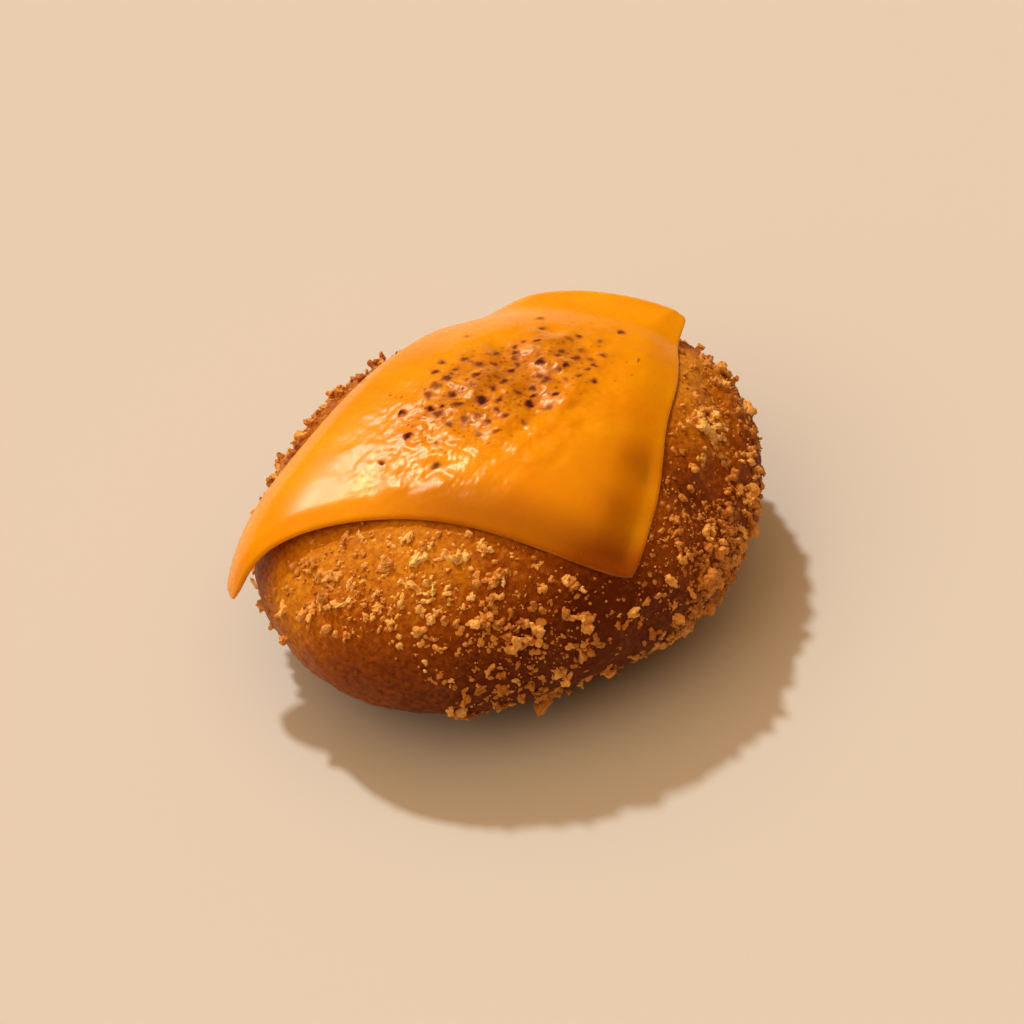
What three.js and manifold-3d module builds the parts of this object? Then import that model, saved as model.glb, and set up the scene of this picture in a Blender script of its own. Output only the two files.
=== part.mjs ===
// Curry bread: an oval bun deep-fried in bread crumbs, with a slice of cheese melted over its crown.
// Millimetres, +Z up. +X runs along the bun, and the origin is on the table under its middle.

import * as THREE from 'three';
import { mergeVertices } from 'three/addons/utils/BufferGeometryUtils.js';
import Module from 'manifold-3d';

const wasm = await Module();
wasm.setup();

// Bun: an ellipsoid whose belly is pressed flat where it rests.
const bunLength = 110;
const bunWidth = 85;
const bunHeight = 48.6;
const bellyLevel = 21.1; // height of the widest line
const bellyDepth = 25.4; // how far the belly would reach below that line if it were not pressed flat
const bunSides = 60;
const bunRings = 20;

// Unevenness of the crust: long swells, and furrows along straight lines in plan.
const swells = [
  { turn: new THREE.Vector3(0.115, 0.02, 0.03), phase: 0.6, height: 0.4 }, // radians for each millimetre
  { turn: new THREE.Vector3(-0.03, 0.13, 0.05), phase: 1.1, height: 0.35 },
  { turn: new THREE.Vector3(0.08, -0.08, 0.17), phase: 0.2, height: 0.3 },
];
const reliefFade = 9; // the unevenness dies away over this height above the table
const furrowFade = 9; // furrows lie on the crown and die away over this height above the widest line
const crustFurrows = {
  endGroove: { from: [44, -10], to: [37, -25], reach: 4, depth: 1.6 },
  sideHollow: { from: [31, -29], to: [23, -31], reach: 6, depth: 1.6 },
};

// Cheese slice: its corners are given by distances along the crust from the crown, before it droops.
const sliceThickness = 2.2;
const sliceGap = 0.35;
const sliceFurrows = { // in the upper face, where a negative depth is a ridge
  crownValley: { from: [11, 16], to: [4, -3], reach: 4, depth: 1.2 },
  crownRidge: { from: [17, 10], to: [11, -4], reach: 4, depth: -0.7 },
  frontDip: { from: [13, -24], to: [14, -25], reach: 6, depth: 0.7 },
  cornerDip: { from: [0, -34], to: [3, -33], reach: 5, depth: 0.6 },
};
const frontLeft = new THREE.Vector2(-67, 16);
const frontRight = new THREE.Vector2(0, -44);
const backRight = new THREE.Vector2(54.5, 9.5);
const backLeft = new THREE.Vector2(24, 55);
const frontSag = 6.2; // how far an edge is drawn in at its middle
const frontSkew = 0.95; // the front edge is drawn in more towards the left by this share
const leftSag = 5.5;
const leftSkew = -1;
const rightWave = 0.4;
const rightWaves = 2.6;
const edgePull = 4; // how closely the drawn-in left and right edges keep to the rim
const cornerRounding = 0.045; // share of the half diagonal that the round corners lose
const cornerSharpness = 8;
const rimSlant = 0.006; // the upper face stops short of the lower one by this share of a side
const hangSlope = THREE.MathUtils.degToRad(70); // steeper than this the slice leaves the crust and hangs
const tipStandoff = 3; // the hanging front left corner stands off by this much more
const tipReach = 30;
const foldHeight = 2;
const foldInset = 5; // from the back edge
const foldReach = 4;
const foldSpan = [0.1, 0.45]; // the fold rises between these shares of the back edge
const sliceColumns = 28;
const sliceRows = 22;
const outlineSteps = 24; // points on each side of the outline that keeps the crumbs away

// Crumbs: the largest first, spaced by chance, each of them one or two lumps sunk in the crust.
const crumbCount = 120;
const twinCrumbs = 40; // so many of the largest have a second lump
const twinSize = 0.75;
const largestCrumb = 2; // radius of a lump
const smallestCrumb = 1;
const crumbRise = 0.1; // share of its radius by which a lump's centre stands out of the crust
const crumbJitter = 0.22;
const crumbSpacing = 1.6; // least distance between two crumbs, in sums of their radii
const sliceClearance = 0.9;
const tableClearance = 0.4;
const evenShare = 0.3; // share of the drawn crumbs that stay, away from the spots below
const crumbSpots = { // where more or fewer of them stay
  thickFlank: { at: new THREE.Vector3(22, -38, 24), reach: 22, share: 0.6 },
  frontBand: { at: new THREE.Vector3(-22, -36, 26), reach: 18, share: 0.4 },
  endCluster: { at: new THREE.Vector3(36, -20, 38), reach: 6, share: 0.7 },
  leftCluster: { at: new THREE.Vector3(-46, -8, 34), reach: 7, share: 0.7 },
  bareEnd: { at: new THREE.Vector3(-49, -15, 18), reach: 15, share: -0.6 },
};

const halfLength = bunLength / 2;
const halfWidth = bunWidth / 2;
const crownHeight = bunHeight - bellyLevel;
const restTilt = Math.acos(-bellyLevel / bellyDepth);
const walkSteps = 200; // steps of a walk along the crust

// A repeatable random draw between 0 and 1.
let seed = 20261;
function random() {
  seed = (seed * 48271) % 2147483647;
  return seed / 2147483647;
}

function smoothstep(low, high, value) {
  return THREE.MathUtils.smoothstep(value, low, high);
}

// Half width of the upright cut through the bun's axis in a plan direction.
function cutReach(direction) {
  return 1 / Math.hypot(direction.x / halfLength, direction.y / halfWidth);
}

// A point of the even ellipsoid and its outward normal. The tilt runs from 0 at the crown.
function evenCrust(direction, tilt) {
  const reach = cutReach(direction);
  const depth = tilt < Math.PI / 2 ? crownHeight : bellyDepth;
  const run = reach * Math.sin(tilt);
  const point = new THREE.Vector3(direction.x * run, direction.y * run, bellyLevel + depth * Math.cos(tilt));
  const out = depth * Math.sin(tilt);
  const up = reach * Math.cos(tilt);
  const normal = new THREE.Vector3(direction.x * out, direction.y * out, up).normalize();
  return { point, normal };
}

function furrowDepth(furrows, point) {
  const plan = new THREE.Vector3(point.x, point.y, 0);
  let depth = 0;
  for (const furrow of Object.values(furrows)) {
    const line = new THREE.Line3(new THREE.Vector3(...furrow.from, 0), new THREE.Vector3(...furrow.to, 0));
    const nearest = line.closestPointToPoint(plan, true, new THREE.Vector3());
    const share = nearest.distanceTo(plan) / furrow.reach;
    depth += furrow.depth * Math.exp(-share * share);
  }
  return depth;
}

// How far the crust stands out from the even ellipsoid.
function crustRelief(point) {
  let swell = 0;
  for (const { turn, phase, height } of swells) swell += height * Math.sin(turn.dot(point) + phase);
  const depth = furrowDepth(crustFurrows, point) * smoothstep(bellyLevel, bellyLevel + furrowFade, point.z);
  return (swell - depth) * smoothstep(0, reliefFade, point.z);
}

function crust(direction, tilt) {
  const { point, normal } = evenCrust(direction, tilt);
  return { point: point.clone().addScaledVector(normal, crustRelief(point)), normal };
}

// Distance along the crust from the crown down to a tilt.
function crustDistance(direction, tilt) {
  const reach = cutReach(direction);
  const step = tilt / walkSteps;
  let distance = 0;
  for (let index = 0; index < walkSteps; index += 1) {
    const middle = (index + 0.5) * step;
    const depth = middle < Math.PI / 2 ? crownHeight : bellyDepth;
    distance += Math.hypot(reach * Math.cos(middle), depth * Math.sin(middle)) * step;
  }
  return distance;
}

// A closed solid from rings of equal length between two single points.
function ringSolid(first, rings, last) {
  const sides = rings[0].length;
  const points = [first, ...rings.flat(), last];
  const index = [];
  const end = points.length - 1;
  for (let side = 0; side < sides; side += 1) {
    const next = (side + 1) % sides;
    index.push(0, 1 + side, 1 + next);
    index.push(end, end - sides + next, end - sides + side);
    for (let ring = 0; ring + 1 < rings.length; ring += 1) {
      const above = 1 + ring * sides;
      const below = above + sides;
      index.push(above + side, below + side, below + next);
      index.push(above + side, below + next, above + next);
    }
  }
  return new THREE.BufferGeometry().setFromPoints(points).setIndex(index);
}

function bareBun() {
  const rings = [];
  for (let ring = 1; ring <= bunRings; ring += 1) {
    const tilt = restTilt * ring / bunRings;
    const points = [];
    for (let side = 0; side < bunSides; side += 1) {
      const angle = 2 * Math.PI * side / bunSides;
      const direction = new THREE.Vector2(halfLength * Math.cos(angle), halfWidth * Math.sin(angle));
      points.push(crust(direction.normalize(), tilt).point);
    }
    if (ring === bunRings) points.forEach((point) => point.setZ(0));
    rings.push(points);
  }
  const crown = crust(new THREE.Vector2(1, 0), 0).point;
  return ringSolid(crown, rings, new THREE.Vector3());
}

// Place on the slice, in distances along the crust. Both shares run from 0 to 1:
// across from the left edge to the right one, and back from the front edge to the back one.
function slicePlace(across, back) {
  const u = 2 * across - 1;
  const v = 2 * back - 1;
  const shrink = 1 - cornerRounding * (u * v) ** cornerSharpness;
  const roundAcross = 0.5 + 0.5 * u * shrink;
  const roundBack = 0.5 + 0.5 * v * shrink;
  const front = new THREE.Vector2().lerpVectors(frontLeft, frontRight, roundAcross);
  const rear = new THREE.Vector2().lerpVectors(backLeft, backRight, roundAcross);
  const place = new THREE.Vector2().lerpVectors(front, rear, roundBack);
  const inward = new THREE.Vector2().subVectors(rear, front).normalize();
  const leftward = new THREE.Vector2().subVectors(backLeft, backRight).normalize();
  const frontBow = frontSag * (1 - u * u) * (1 - frontSkew * u);
  const leftBow = leftSag * (1 - v * v) * (1 - leftSkew * v);
  const wave = rightWave * Math.sin(2 * Math.PI * rightWaves * back);
  place.addScaledVector(inward, frontBow * (1 - roundBack));
  place.addScaledVector(leftward, -leftBow * (1 - roundAcross) ** edgePull);
  place.addScaledVector(leftward, wave * roundAcross ** edgePull);
  return place;
}

// How far the slice stands off the crust: a fold along its back edge, and the hanging tip.
function sliceLift(across, back) {
  const inset = (1 - back) * frontRight.distanceTo(backRight);
  const foldShare = (inset - foldInset) / foldReach;
  const fold = foldHeight * Math.exp(-foldShare * foldShare) * smoothstep(foldSpan[0], foldSpan[1], across);
  const tipShare = slicePlace(across, back).distanceTo(frontLeft) / tipReach;
  return sliceGap + fold + tipStandoff * Math.exp(-tipShare * tipShare);
}

// Lay a place of the slice on the crust, or let it hang where the crust is too steep.
function drape(place) {
  const direction = place.clone().normalize();
  const reach = cutReach(direction);
  const leavingTilt = Math.atan(Math.tan(hangSlope) * reach / crownHeight);
  const step = leavingTilt / walkSteps;
  let tilt = 0;
  let rest = place.length();
  for (let index = 0; index < walkSteps && rest > 0; index += 1) {
    const middle = tilt + step / 2;
    const length = Math.hypot(reach * Math.cos(middle), crownHeight * Math.sin(middle)) * step;
    tilt += step * Math.min(1, rest / length);
    rest -= length;
  }
  const { point, normal } = crust(direction, tilt);
  const fall = Math.hypot(normal.x, normal.y);
  const downhill = new THREE.Vector3(direction.x * normal.z, direction.y * normal.z, -fall);
  return { point: point.addScaledVector(downhill, Math.max(rest, 0)), normal };
}

function cheeseSlice() {
  const points = [];
  const index = [];
  const rowLength = sliceColumns + 1;
  const faceSize = rowLength * (sliceRows + 1);
  for (const upper of [false, true]) {
    const slant = upper ? rimSlant : 0;
    for (let row = 0; row <= sliceRows; row += 1) {
      for (let column = 0; column <= sliceColumns; column += 1) {
        const across = THREE.MathUtils.lerp(slant, 1 - slant, column / sliceColumns);
        const back = THREE.MathUtils.lerp(slant, 1 - slant, row / sliceRows);
        const { point, normal } = drape(slicePlace(across, back));
        const thickness = upper ? sliceThickness - furrowDepth(sliceFurrows, point) : 0;
        points.push(point.addScaledVector(normal, sliceLift(across, back) + thickness));
      }
    }
  }
  const addQuad = (a, b, c, d) => index.push(a, b, c, a, c, d);
  const corner = (row, column, face) => face * faceSize + row * rowLength + column;
  for (let row = 0; row < sliceRows; row += 1) {
    for (let column = 0; column < sliceColumns; column += 1) {
      const around = (face) => [
        corner(row, column, face),
        corner(row, column + 1, face),
        corner(row + 1, column + 1, face),
        corner(row + 1, column, face),
      ];
      const [a, b, c, d] = around(0);
      index.push(a, c, b, a, d, c);
      addQuad(...around(1));
    }
  }
  const addRim = (from, to) => {
    addQuad(corner(...from, 0), corner(...to, 0), corner(...to, 1), corner(...from, 1));
  };
  for (let column = 0; column < sliceColumns; column += 1) {
    addRim([0, column], [0, column + 1]);
    addRim([sliceRows, column + 1], [sliceRows, column]);
  }
  for (let row = 0; row < sliceRows; row += 1) {
    addRim([row + 1, 0], [row, 0]);
    addRim([row, sliceColumns], [row + 1, sliceColumns]);
  }
  return new THREE.BufferGeometry().setFromPoints(points).setIndex(index);
}

// The slice's outline, in distances along the crust.
function sliceOutline() {
  const sides = [
    (share) => [share, 0],
    (share) => [1, share],
    (share) => [1 - share, 1],
    (share) => [0, 1 - share],
  ];
  const outline = [];
  for (const side of sides) {
    for (let step = 0; step < outlineSteps; step += 1) outline.push(slicePlace(...side(step / outlineSteps)));
  }
  return outline;
}

// Distance of a place on the crust from the outline, negative inside it.
function outsideOutline(outline, place) {
  let nearest = Infinity;
  let inside = false;
  outline.forEach((from, number) => {
    const to = outline[(number + 1) % outline.length];
    nearest = Math.min(nearest, from.distanceTo(place));
    const crosses = (from.y > place.y) !== (to.y > place.y);
    const crossing = from.x + (to.x - from.x) * (place.y - from.y) / (to.y - from.y);
    if (crosses && place.x < crossing) inside = !inside;
  });
  return inside ? -nearest : nearest;
}

// Share of the drawn crumbs that stay at a point of the crust.
function crumbDensity(point) {
  let density = evenShare;
  for (const { at, reach, share } of Object.values(crumbSpots)) {
    density += share * Math.exp(-((point.distanceTo(at) / reach) ** 2));
  }
  return density;
}

// Reach of a crumb around its place.
function crumbReach(number, radius) {
  const lumps = number < twinCrumbs ? 1 + twinSize : 1;
  return radius * lumps * (1 + crumbJitter);
}

function crumbPlaces() {
  const outline = sliceOutline();
  const crumbs = [];
  while (crumbs.length < crumbCount) {
    const radius = THREE.MathUtils.lerp(largestCrumb, smallestCrumb, crumbs.length / crumbCount);
    const heading = 2 * Math.PI * random();
    const tilt = Math.acos(THREE.MathUtils.lerp(1, Math.cos(restTilt), random()));
    const chance = random();
    const direction = new THREE.Vector2(Math.cos(heading), Math.sin(heading));
    const { point, normal } = crust(direction, tilt);
    const place = direction.clone().multiplyScalar(crustDistance(direction, tilt));
    const reach = crumbReach(crumbs.length, radius);
    const clearOfSlice = outsideOutline(outline, place) > reach + sliceClearance;
    const clearOfTable = point.z > reach + tableClearance;
    const tooClose = (other) => other.point.distanceTo(point) < crumbSpacing * (other.radius + radius);
    if (chance < crumbDensity(point) && clearOfSlice && clearOfTable && !crumbs.some(tooClose)) {
      crumbs.push({ point, normal, radius });
    }
  }
  return crumbs;
}

// One rough lump with twenty sides.
function crumbLump(centre, radius) {
  const lump = new THREE.IcosahedronGeometry(1, 0);
  lump.deleteAttribute('normal');
  lump.deleteAttribute('uv');
  const merged = mergeVertices(lump);
  const position = merged.getAttribute('position');
  const angles = [random(), random(), random()].map((share) => 2 * Math.PI * share);
  const turn = new THREE.Quaternion().setFromEuler(new THREE.Euler(...angles));
  for (let index = 0; index < position.count; index += 1) {
    const size = radius * (1 + crumbJitter * (2 * random() - 1));
    const vertex = new THREE.Vector3().fromBufferAttribute(position, index);
    vertex.applyQuaternion(turn).multiplyScalar(size).add(centre);
    position.setXYZ(index, vertex.x, vertex.y, vertex.z);
  }
  return merged;
}

function toManifold(geometry) {
  const vertProperties = new Float32Array(geometry.getAttribute('position').array);
  const triVerts = new Uint32Array(geometry.getIndex().array);
  return new wasm.Manifold(new wasm.Mesh({ numProp: 3, vertProperties, triVerts }));
}

function fromManifold(solid) {
  const mesh = solid.getMesh();
  const geometry = new THREE.BufferGeometry();
  geometry.setAttribute('position', new THREE.BufferAttribute(mesh.vertProperties, 3));
  geometry.setIndex(new THREE.BufferAttribute(mesh.triVerts, 1));
  return geometry;
}

function crumbedBun() {
  let solid = toManifold(bareBun());
  crumbPlaces().forEach(({ point, normal, radius }, number) => {
    const centre = point.clone().addScaledVector(normal, crumbRise * radius);
    solid = solid.add(toManifold(crumbLump(centre, radius)));
    if (number < twinCrumbs) {
      const drawn = new THREE.Vector3(random() - 0.5, random() - 0.5, random() - 0.5);
      const aside = drawn.cross(normal).normalize();
      const twin = point.clone().addScaledVector(aside, radius);
      solid = solid.add(toManifold(crumbLump(twin, twinSize * radius)));
    }
  });
  return fromManifold(solid);
}

function namedMesh(name, geometry, colour, roughness) {
  geometry.computeVertexNormals();
  const material = new THREE.MeshStandardMaterial({ color: colour, roughness, metalness: 0 });
  const mesh = new THREE.Mesh(geometry, material);
  mesh.name = name;
  return mesh;
}

const curryBread = new THREE.Group();
curryBread.add(namedMesh('bun', crumbedBun(), 0xa85c1e, 0.55));
curryBread.add(namedMesh('cheese_slice', cheeseSlice(), 0xeb8700, 0.35));

export default curryBread;
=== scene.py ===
import math

import bmesh
import bpy
import numpy as np
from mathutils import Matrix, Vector


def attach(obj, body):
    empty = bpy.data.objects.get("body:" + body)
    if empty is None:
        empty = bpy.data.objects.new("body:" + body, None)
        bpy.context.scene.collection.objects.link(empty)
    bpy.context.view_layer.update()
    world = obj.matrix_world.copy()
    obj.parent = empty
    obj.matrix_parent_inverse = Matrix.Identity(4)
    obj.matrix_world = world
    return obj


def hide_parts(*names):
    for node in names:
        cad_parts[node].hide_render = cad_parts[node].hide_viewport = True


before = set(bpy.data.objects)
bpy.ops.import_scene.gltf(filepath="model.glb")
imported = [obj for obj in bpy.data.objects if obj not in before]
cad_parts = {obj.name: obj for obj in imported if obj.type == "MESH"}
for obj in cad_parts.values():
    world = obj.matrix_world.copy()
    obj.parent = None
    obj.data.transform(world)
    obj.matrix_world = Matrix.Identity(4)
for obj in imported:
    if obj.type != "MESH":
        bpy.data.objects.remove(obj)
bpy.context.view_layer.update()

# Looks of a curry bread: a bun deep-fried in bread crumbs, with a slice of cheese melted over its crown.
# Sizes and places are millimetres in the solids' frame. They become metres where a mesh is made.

MM = 0.001
NEAR_ZERO = 1e-12

# Bun, with the form of its solid
BUN_LENGTH = 110
BUN_WIDTH = 85
BUN_HEIGHT = 48.6
BELLY_LEVEL = 21.1  # height of the widest line
BELLY_DEPTH = 25.4  # how far the belly would reach below that line if it were not pressed flat
BUN_SIDES = 420
BUN_RINGS = 200
SWELLS = (  # turn in radians for each millimetre, phase, height
    ((0.115, 0.02, 0.03), 0.6, 0.4),
    ((-0.03, 0.13, 0.05), 1.1, 0.35),
    ((0.08, -0.08, 0.17), 0.2, 0.3),
)
RELIEF_FADE = 9  # the unevenness dies away over this height above the ground
FURROW_FADE = 9  # furrows die away over this height above the widest line
CRUST_FURROWS = (  # from, to, reach, depth
    ((44, -10), (37, -25), 4, 1.6),  # groove at the bare end
    ((31, -29), (23, -31), 6, 1.6),  # hollow in the side
)

# Grain of the crust, finer than the solid's unevenness
RIPPLE_COUNT = 36  # plane waves in one layer of relief
RIPPLE_SPREAD = (0.7, 1.4)  # their wavelengths, as shares of the layer's
GRAIN_WAVES = ((9, 0.12), (2.2, 0.06))  # wavelength, height
GRAIN_SEED = 11
ROUGH_WAVES = ((7, 0.5), (3.2, 0.3))
ROUGH_SEED = 31
ROUGH_END = ((50, -18, 28), 17, 1)  # where the crust is creased: centre, reach, share
CREASE_LEVEL = 0.6
GRAIN_CLEARANCE = 2  # the grain fades in over this distance from the slice

# Browning of the crust, from 0, golden, to 1, dark brown, with a painted shadow under the slice's front
# edge among the dark spots
BROWN_START = 0.4
BROWN_RISE = 0.4
BROWN_LEVELS = (44, 20)  # heights where the rise begins and ends
GOLDEN_SPOTS = (  # centre, reach, share
    ((-36, -11, 42), 13, 0.21),
    ((44, -4, 38), 13, 0.3),
    ((-55, 2, 27), 15, 0.45),
    ((37, -19, 38), 7, 0.3),
)
DARK_AND_SHADOW_SPOTS = (
    ((44, -19, 32), 7, 0.08),
    ((23, -30, 37), 8, 0.32),
    ((-16, -41, 20), 24, 0.42),
    ((-46, -14, 28), 10, 0.16),
    # painted shadow that the slice's front edge casts on the crust below it
    ((-6, -37, 36), 10, 0.2),
)

# Slice, with the corners and edges of its solid: corners by distances along the crust from the crown
SLICE_THICKNESS = 2.2
FRONT_LEFT = np.array((-67, 16))
FRONT_RIGHT = np.array((0, -44))
BACK_RIGHT = np.array((54.5, 9.5))
BACK_LEFT = np.array((24, 55))
FRONT_SAG = 6.2  # how far an edge is drawn in at its middle
FRONT_SKEW = 0.95
LEFT_SAG = 5.5
LEFT_SKEW = -1
RIGHT_WAVE = 0.4
RIGHT_WAVES = 2.6
EDGE_PULL = 4  # power by which the shape of an edge or a corner dies away from it
CORNER_ROUNDING = 0.045  # share of the half diagonal that the round corners lose
CORNER_SHARPNESS = 8
HANG_SLOPE = math.radians(70)  # steeper than this the slice leaves the crust and hangs
FOLD_INSET = 5  # from the back edge
FOLD_REACH = 4
FOLD_SPAN = (0.1, 0.45)  # the fold rises between these shares of the back edge
WALK_STEPS = 200  # steps of a walk along the crust or along a side
OUTLINE_STEPS = 24  # points on each side of the outline
SLICE_COLUMNS = 230
SLICE_ROWS = 180

# What melting adds to it
SLICE_GAP = 0.12
LEFT_RUN = np.array((-3.6, 1.5))  # how far the front corners have run past those of the solid
RIGHT_RUN = np.array((-0.3, 0.1))
FRONT_RUN = 2.1  # how much further the front edge is drawn in
TIP_ROUNDING = 0.06  # the hanging tip is blunter
BACK_ROUNDING = 0.07  # and so is the right corner at the back
TIP_START = 0.17  # share of the front edge where it starts to be drawn in, so that the tip is a tongue
TIP_STANDOFF = 5  # how far the hanging tip stands off
TIP_REACH = 24
FOLD_HEIGHT = 4.2
RIM_STEPS = 5  # steps of the round rim
RIM_SHARE = 0.35  # share of the thickness that is left at the rims apart from the front one
RIM_TAPER = 12  # the slice thins over this distance
FRONT_RIM_SHARE = 0.65  # share that is left at the front rim
FRONT_TAPER = 4.8
SLICE_FURROWS = (  # from, to, reach, depth
    ((11, 16), (4, -3), 3.5, 1.5),  # valley on the crown
    ((17, 10), (11, -4), 3.5, -0.8),  # ridge beside it
    ((12, 2), (10, -7), 2, 0.5),
    ((13, -24), (14, -25), 6, 1.0),
    ((0, -34), (3, -33), 5, 0.8),
    ((49, 12), (35.5, 26.5), 1.3, -0.6),  # lip before the fold
)
HEAT_CENTRE = (0, 3)
HEAT_REACH = (30, 18)
SCORCH_CENTRE = (4, 7.5)
SCORCH_REACH = (24, 12)
BLISTER_WAVES = ((6.5, 0.19), (2.6, 0.06), (1.2, 0.03))  # wavelength, height
BLISTER_SEED = 51
RELIEF_INSET = 4  # blisters and furrows fade in over this distance from the edges
HOT_SHARE = (0.5, 0.38)  # place of the heated zone, as shares of the slice's sides
HOT_REACH = 0.26
HOT_DENSITY = 2.5  # how much denser the mesh is there
THIN_AND_SHADED_SPOTS = (  # where the slice lies thinner and the crust shows through, and painted shade in its dips and its valley: centre, reach, share
    # painted shade in the dips near the front right corner
    ((15, -24, 45), 5, 0.6),
    ((4, -30, 44), 6, 0.55),
    ((-8, -36, 41), 6, 0.5),
    ((-1, -39, 38), 5, 0.4),
    # painted shade in the valley on the crown
    ((9, 11, 49), 5, 0.35),
    ((6, 3, 49), 4, 0.35),
)
FRONT_THIN_AND_SHADED = 0.65  # thinness of the front edge, with painted shade on the front strip that faces away from the light
FRONT_FADE = (12, 4)  # distances from the front edge between which it thins and its painted shade fades in
FRONT_START = (0.3, 0.6)  # shares of the front edge between which that begins
MATTE_SPOTS = (((-58, 0, 28), 16, 0.8),)  # where the slice is dull

# Crumbs that the solid has too: the same rule with the same draws
LEHMER_FACTOR = 48271
LEHMER_RANGE = 2147483647
CRUMB_SEED = 20261
CRUMB_COUNT = 120
TWIN_CRUMBS = 40  # so many of the largest have a second lump
TWIN_SIZE = 0.75
LARGEST_CRUMB = 2
SMALLEST_CRUMB = 1
CRUMB_RISE = 0.1
CRUMB_JITTER = 0.22
CRUMB_SPACING = 1.6
SLICE_CLEARANCE = 0.9
GROUND_CLEARANCE = 0.4
LUMP_DRAWS = 15  # draws that shape one lump of the solid
EVEN_SHARE = 0.3  # share of the drawn crumbs that stay away from the spots
CRUMB_SPOTS = (  # centre, reach, how much larger the share is there
    ((22, -38, 24), 22, 0.6),
    ((-22, -36, 26), 18, 0.4),
    ((36, -20, 38), 6, 0.7),
    ((-46, -8, 34), 7, 0.7),
    ((-49, -15, 18), 15, -0.6),
)

# Forms of crumbs: blobs with nubs, fused, and then roughened by crags
CRUMB_FORMS = 14
FORM_BLOBS = 6
FORM_SPREAD = (0.42, 0.42, 0.25)
BLOB_RADII = (0.3, 0.6)
BLOB_SHAPE = (2, 0.6, 0.1, 0.1)  # subdivisions, least side, height of swellings, jitter of points
FORM_NUBS = 16
NUB_RADII = (0.12, 0.26)
NUB_SHAPE = (1, 0.5, 0.1, 0.2)
FORM_VOXEL = 0.11
FORM_ROUGHNESS = 0.32
FORM_CRAG = 0.3  # size of the crags
LARGE_TRIANGLES = 420
MEDIUM_TRIANGLES = 150
LUMP_SWELLS = 6  # swellings of a lump
LUMP_TURN = 2.4  # how close together they are
LUMP_LARGEST = 1.15  # longest side of a lump, as a share of its radius
CRUMB_STRETCH = (0.6, 1.25)

# Scattered crumbs of three kinds. Their own spots are added to those above.
SCATTER_SEED = 5
SIZE_SKEW = 1.6  # most crumbs are small
CLEAR_RADII = 1.5  # distance from the slice and the ground, in radii
LARGE_SCALE = 1.15  # size of the largest crumbs, as a share of the solid's lumps
MEDIUM_CRUMBS = 740
MEDIUM_RADII = (0.7, 1.75)
MEDIUM_SHARE = 0.12
FLANK_SPOTS = (
    ((29, -34, 23), 12, 0.9),
    ((12, -40, 20), 13, 0.3),
    ((-20, -38, 26), 14, -0.35),
    ((-8, -42, 18), 13, -0.5),
    ((22, -29, 37), 8, -0.8),
    ((-36, -20, 37), 14, 0.3),
    ((3, -40, 31), 8, -0.6),
    ((33, -26, 36), 10, -1),
    ((47, -15, 31), 9, -0.5),
    ((36, -20, 38), 6, 0.8),
    ((-38, 26, 26), 14, 0.6),
    ((-15, 38, 24), 14, 0.5),
    ((20, 38, 24), 16, 0.35),
    ((50, 12, 26), 12, 0.35),
)
COAT_CRUMBS = 1280
COAT_RADII = (0.7, 1.8)
COAT_SHARE = 0
COAT_SINK = 0.55  # share of its radius that a crumb of the coat is sunk
COAT_SPOTS = (
    ((-36, -14, 40), 15, 1.3),
    ((-50, -2, 34), 9, 0.8),
    ((45, -5, 36), 11, 0.9),
    ((50, -14, 27), 10, 0.6),
    ((36, -20, 38), 6, 0.7),
    ((-36, 28, 26), 16, 0.2),
    ((0, 42, 22), 20, 0.2),
    ((38, 28, 24), 16, 0.2),
)
FINE_CRUMBS = 4600
FINE_RADII = (0.1, 0.38)
FINE_SHARE = 0
FINE_SHAPE = (1, 0.6, 0.05, 0.25)
FUZZ_SPOTS = (
    ((-38, -14, 38), 14, 0.2),
    ((42, -8, 37), 12, 0.35),
    ((28, -34, 22), 12, 0.3),
    ((33, -26, 36), 10, -0.8),
    ((-10, -40, 18), 18, -0.4),
    ((-36, 28, 26), 18, 0.25),
    ((0, 42, 22), 22, 0.25),
    ((38, 28, 24), 18, 0.25),
)

# Toast of the crumbs, from 0, pale, to 1, brown
TOAST_START = 0.56
TOAST_RISE = 0.02
TOAST_SPAN = (-30, 25)  # places along the bun where the rise begins and ends
TOAST_SPREAD = 0.3
POINT_SPREAD = 0.06  # from point to point of a crumb
COAT_TOAST = 0.1  # how much browner the coat is
COAT_SPREAD = 0.15
FINE_TOAST = (0.3, 0.95)
PALE_SPOTS = (
    ((-35, -15, 39), 14, 0.44),
    ((36, -20, 38), 6, 0.5),
)

# Colours and gloss. Noise is given by the size of its bumps, its detail and, for mottles, its range.
BUMP_DEPTH = 0.4
CRUST_BUMP = 0.8  # strength of the bump
CRUMB_BUMP = 0.7
CRUST_TONES = (  # browning and painted shade, colour
    (0.0, (0.82, 0.37, 0.02)),
    (0.25, (0.62, 0.215, 0.008)),
    (0.55, (0.38, 0.09, 0.005)),
    (1.0, (0.13, 0.018, 0.002)),
)
CRUST_MOTTLE = (1.1, 4.0, 0.9)
CRUST_PATCHES = (9, 2.0, 0.3)  # a second, wider mottle
CRUST_GLOSS_SIZE = 2.0
CRUST_ROUGHNESS = ((0.3, (0.42,)), (0.75, (0.65,)))  # noise, roughness
CRUST_PITS = (0.7, 5.0, 0.65)  # size, detail and roughness of the noise
CRUMB_TONES = (  # toast, colour
    (0.0, (1.0, 0.69, 0.3)),
    (0.35, (0.92, 0.465, 0.12)),
    (0.7, (0.62, 0.235, 0.04)),
    (1.0, (0.36, 0.1, 0.013)),
)
CRUMB_MOTTLE = (0.6, 3.0, 0.6)
CRUMB_PITS = (0.35, 3.0)
CHEESE_TONES = ((0.3, (0.85, 0.31, 0.001)), (0.7, (0.91, 0.385, 0.002)))  # noise, colour
CHEESE_PATCHES = (12, 2.0)
CHEESE_GLOSS_SIZE = 4.0
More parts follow.
